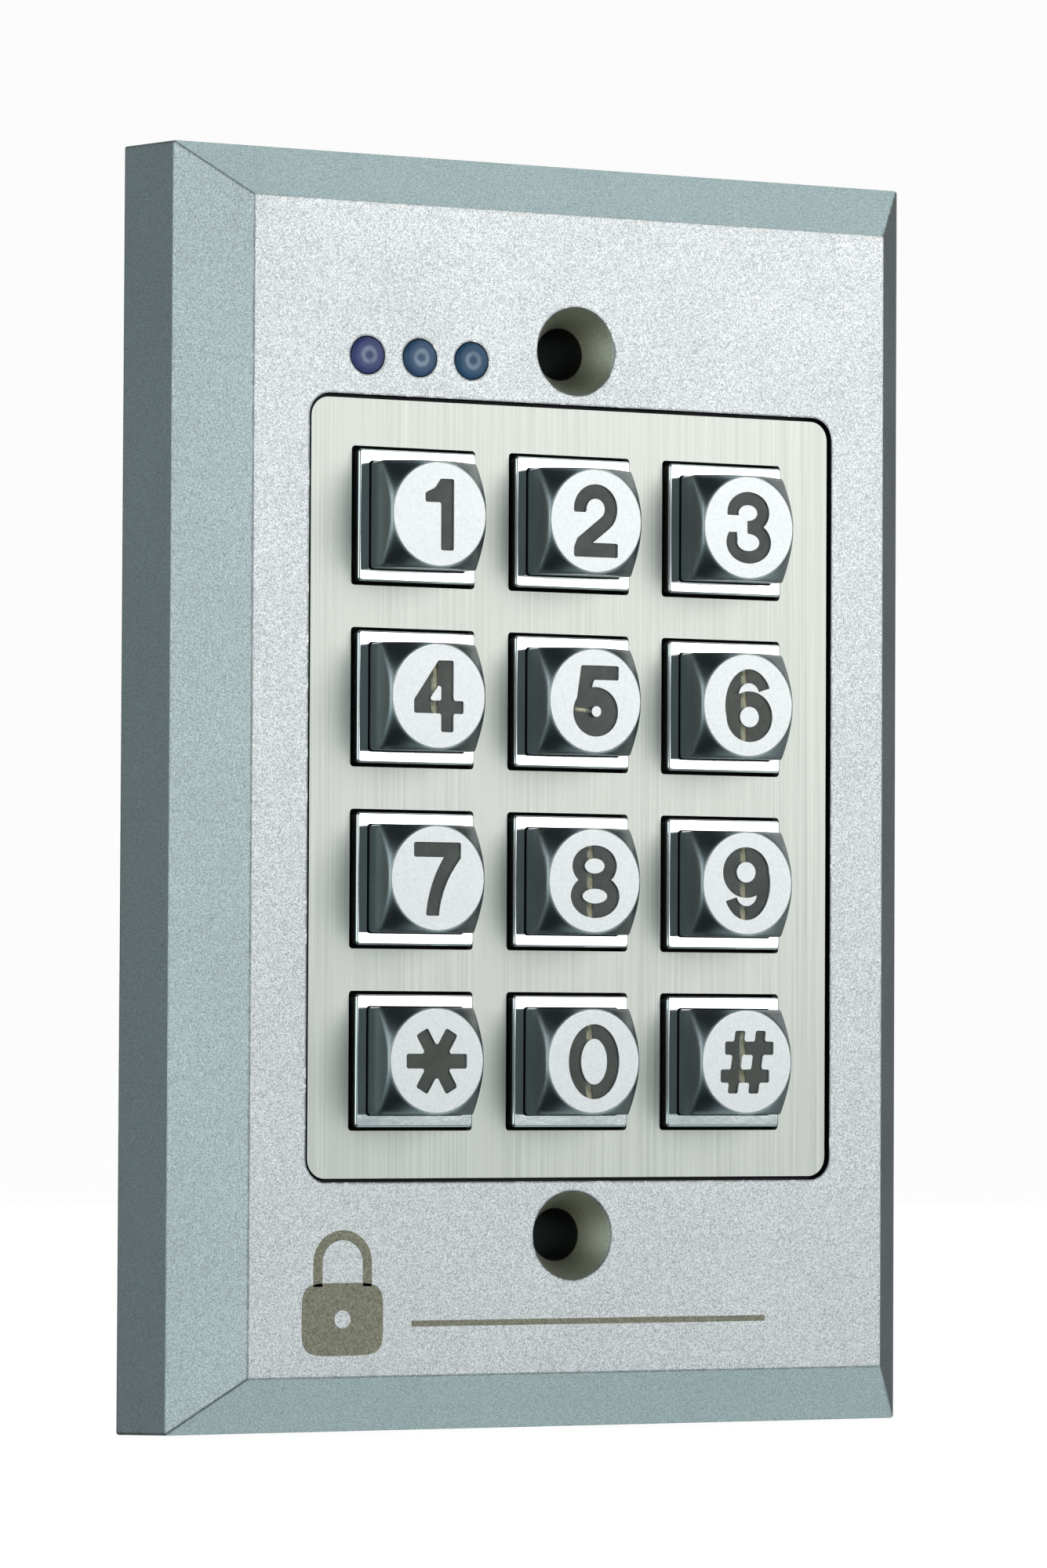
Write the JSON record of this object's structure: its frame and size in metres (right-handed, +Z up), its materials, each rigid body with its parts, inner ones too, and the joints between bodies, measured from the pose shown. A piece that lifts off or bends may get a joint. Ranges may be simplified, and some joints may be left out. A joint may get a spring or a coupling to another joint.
{
  "type": "keypad access reader",
  "caption": "Surface-mounted keypad access reader: bevelled metal housing, brushed panel, square push keys in bright collars and a row of status lamps.",
  "frame": {"origin": "on the wall, midway between the two wall-screw holes", "axes": "+Z up the wall, -Y out of the wall towards the user, +X to the user's right"},
  "size_m": [0.0794, 0.021, 0.1206],
  "materials": {
    "blasted_metal": "blasted",
    "gasket_foam": "matte",
    "adhesive": "matte",
    "brushed_steel": "brushed",
    "bright_chrome": "polished",
    "silicone": "matte",
    "carbon": "matte",
    "gold_plating": "satin",
    "circuit_board": "satin",
    "lamp_chip": "satin",
    "violet_lens": "frosted",
    "blue_lens": "frosted",
    "teal_lens": "frosted",
    "chip_epoxy": "matte",
    "crystal_can": "satin",
    "capacitor_resin": "satin",
    "buzzer_plastic": "satin",
    "terminal_plastic": "satin",
    "zinc_steel": "satin",
    "cover_steel": "satin",
    "key_plating": "satin",
    "legend_resin": "frosted"
  },
  "bodies": {
    "housing": {"front_housing": "blasted_metal", "wall_gasket": "gasket_foam", "panel_adhesive": "adhesive", "face_panel": "brushed_steel", "key_collars": "bright_chrome", "dome_mat": "silicone", "contact_pills": "carbon", "contact_pads": "gold_plating", "keypad_board": "circuit_board", "backlight_leds": "lamp_chip", "status_leds": "lamp_chip", "status_lens_left": "violet_lens", "status_lens_middle": "blue_lens", "status_lens_right": "teal_lens", "controller_chip": "chip_epoxy", "line_driver_chip": "chip_epoxy", "voltage_regulator": "chip_epoxy", "clock_crystal": "crystal_can", "filter_capacitors": "capacitor_resin", "piezo_buzzer": "buzzer_plastic", "wiring_terminal": "terminal_plastic", "clamp_screws": "zinc_steel", "board_screws": "zinc_steel", "rear_cover": "cover_steel", "cover_screws": "zinc_steel"},
    "key_1": {"key_cap_1": "key_plating", "key_legend_1": "legend_resin"},
    "key_2": {"key_cap_2": "key_plating", "key_legend_2": "legend_resin"},
    "key_3": {"key_cap_3": "key_plating", "key_legend_3": "legend_resin"},
    "key_4": {"key_cap_4": "key_plating", "key_legend_4": "legend_resin"},
    "key_5": {"key_cap_5": "key_plating", "key_legend_5": "legend_resin"},
    "key_6": {"key_cap_6": "key_plating", "key_legend_6": "legend_resin"},
    "key_7": {"key_cap_7": "key_plating", "key_legend_7": "legend_resin"},
    "key_8": {"key_cap_8": "key_plating", "key_legend_8": "legend_resin"},
    "key_9": {"key_cap_9": "key_plating", "key_legend_9": "legend_resin"},
    "key_star": {"key_cap_star": "key_plating", "key_legend_star": "legend_resin"},
    "key_0": {"key_cap_0": "key_plating", "key_legend_0": "legend_resin"},
    "key_hash": {"key_cap_hash": "key_plating", "key_legend_hash": "legend_resin"}
  },
  "joints": [
    {"name": "press_1", "type": "slide", "parent": "housing", "child": "key_1", "axis": [0, 1, 0], "range_m": [0, 0.0012], "stiffness_N_per_m": 900, "springref_m": -0.0012, "deforming": ["dome_mat"]},
    {"name": "press_2", "type": "slide", "parent": "housing", "child": "key_2", "axis": [0, 1, 0], "range_m": [0, 0.0012], "stiffness_N_per_m": 900, "springref_m": -0.0012, "deforming": ["dome_mat"]},
    {"name": "press_3", "type": "slide", "parent": "housing", "child": "key_3", "axis": [0, 1, 0], "range_m": [0, 0.0012], "stiffness_N_per_m": 900, "springref_m": -0.0012, "deforming": ["dome_mat"]},
    {"name": "press_4", "type": "slide", "parent": "housing", "child": "key_4", "axis": [0, 1, 0], "range_m": [0, 0.0012], "stiffness_N_per_m": 900, "springref_m": -0.0012, "deforming": ["dome_mat"]},
    {"name": "press_5", "type": "slide", "parent": "housing", "child": "key_5", "axis": [0, 1, 0], "range_m": [0, 0.0012], "stiffness_N_per_m": 900, "springref_m": -0.0012, "deforming": ["dome_mat"]},
    {"name": "press_6", "type": "slide", "parent": "housing", "child": "key_6", "axis": [0, 1, 0], "range_m": [0, 0.0012], "stiffness_N_per_m": 900, "springref_m": -0.0012, "deforming": ["dome_mat"]},
    {"name": "press_7", "type": "slide", "parent": "housing", "child": "key_7", "axis": [0, 1, 0], "range_m": [0, 0.0012], "stiffness_N_per_m": 900, "springref_m": -0.0012, "deforming": ["dome_mat"]},
    {"name": "press_8", "type": "slide", "parent": "housing", "child": "key_8", "axis": [0, 1, 0], "range_m": [0, 0.0012], "stiffness_N_per_m": 900, "springref_m": -0.0012, "deforming": ["dome_mat"]},
    {"name": "press_9", "type": "slide", "parent": "housing", "child": "key_9", "axis": [0, 1, 0], "range_m": [0, 0.0012], "stiffness_N_per_m": 900, "springref_m": -0.0012, "deforming": ["dome_mat"]},
    {"name": "press_star", "type": "slide", "parent": "housing", "child": "key_star", "axis": [0, 1, 0], "range_m": [0, 0.0012], "stiffness_N_per_m": 900, "springref_m": -0.0012, "deforming": ["dome_mat"]},
    {"name": "press_0", "type": "slide", "parent": "housing", "child": "key_0", "axis": [0, 1, 0], "range_m": [0, 0.0012], "stiffness_N_per_m": 900, "springref_m": -0.0012, "deforming": ["dome_mat"]},
    {"name": "press_hash", "type": "slide", "parent": "housing", "child": "key_hash", "axis": [0, 1, 0], "range_m": [0, 0.0012], "stiffness_N_per_m": 900, "springref_m": -0.0012, "deforming": ["dome_mat"]}
  ]
}
